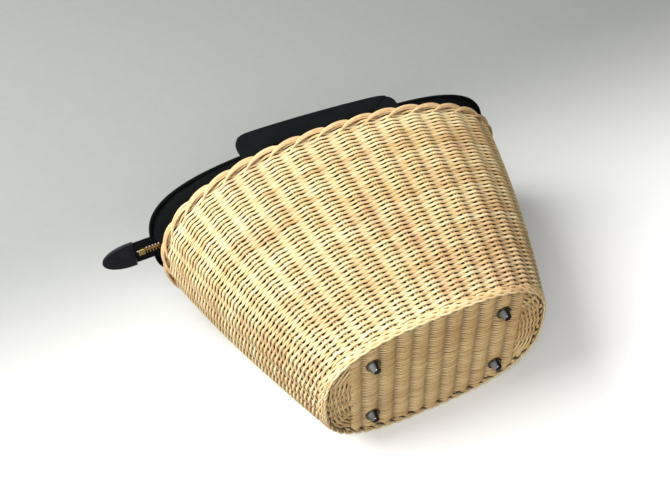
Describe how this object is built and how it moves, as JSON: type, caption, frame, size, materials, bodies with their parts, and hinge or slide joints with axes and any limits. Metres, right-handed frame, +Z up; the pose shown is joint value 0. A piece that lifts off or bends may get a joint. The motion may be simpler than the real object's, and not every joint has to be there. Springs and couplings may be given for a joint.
{
  "type": "woven basket box bag",
  "caption": "Flared oval woven cane basket bag on metal feet, with a zipped fabric closure standing out of the mouth and two short flat strap handles.",
  "frame": {"origin": "centre of the flat underside of the woven base; the feet reach 7 mm below it", "axes": "+Z up, +X along the width of the bag away from the loose end of the zip, +Y from the front to the back"},
  "size_m": [0.3816, 0.171, 0.2535],
  "materials": {
    "rattan": "satin woven cane",
    "lining_fabric": "plain woven lining",
    "closure_fabric": "matte woven fabric",
    "strap_fabric": "matte strap",
    "zip_tape": "woven tape",
    "gold_metal": "polished gold",
    "dark_chrome": "polished dark chrome",
    "steel": "plain",
    "board": "raw board",
    "tab_leather": "fine grain"
  },
  "bodies": {
    "root": {"basket_side": "rattan", "rim_border": "rattan", "basket_base": "rattan", "base_board": "board", "foot_left_front": "dark_chrome", "foot_left_back": "dark_chrome", "foot_right_front": "dark_chrome", "foot_right_back": "dark_chrome", "foot_washers": "steel", "foot_nuts": "steel", "lining": "lining_fabric", "closure_collar": "closure_fabric", "closure_panel_front": "closure_fabric", "closure_panel_back": "closure_fabric", "zip_tape_front": "zip_tape", "zip_tape_back": "zip_tape", "zip_teeth_front": "gold_metal", "zip_teeth_back": "gold_metal", "zip_bottom_stop": "gold_metal", "zip_top_stops": "gold_metal", "zip_end_tab": "tab_leather", "handle_front_tail_left": "strap_fabric", "handle_front_tail_right": "strap_fabric", "handle_back_tail_left": "strap_fabric", "handle_back_tail_right": "strap_fabric"},
    "zip_slider": {"zip_slider": "gold_metal"},
    "zip_pull": {"zip_pull": "gold_metal"},
    "handle_front": {"handle_front": "strap_fabric"},
    "handle_back": {"handle_back": "strap_fabric"}
  },
  "joints": [
    {"name": "handle_front_swing", "type": "hinge", "parent": "root", "child": "handle_front", "pos_m": [0, -0.0698, 0.226], "axis": [1, 0, 0], "range_deg": [-80, 96]},
    {"name": "handle_back_swing", "type": "hinge", "parent": "root", "child": "handle_back", "pos_m": [0, 0.0698, 0.226], "axis": [-1, 0, 0], "range_deg": [-80, 96]},
    {"name": "zip_slide", "type": "slide", "parent": "root", "child": "zip_slider", "axis": [-1, 0, 0], "range_m": [0, 0.309]},
    {"name": "zip_pull_swing", "type": "hinge", "parent": "zip_slider", "child": "zip_pull", "pos_m": [0.142, 0, 0.2226], "axis": [0, 1, 0], "range_deg": [0, 170]}
  ]
}
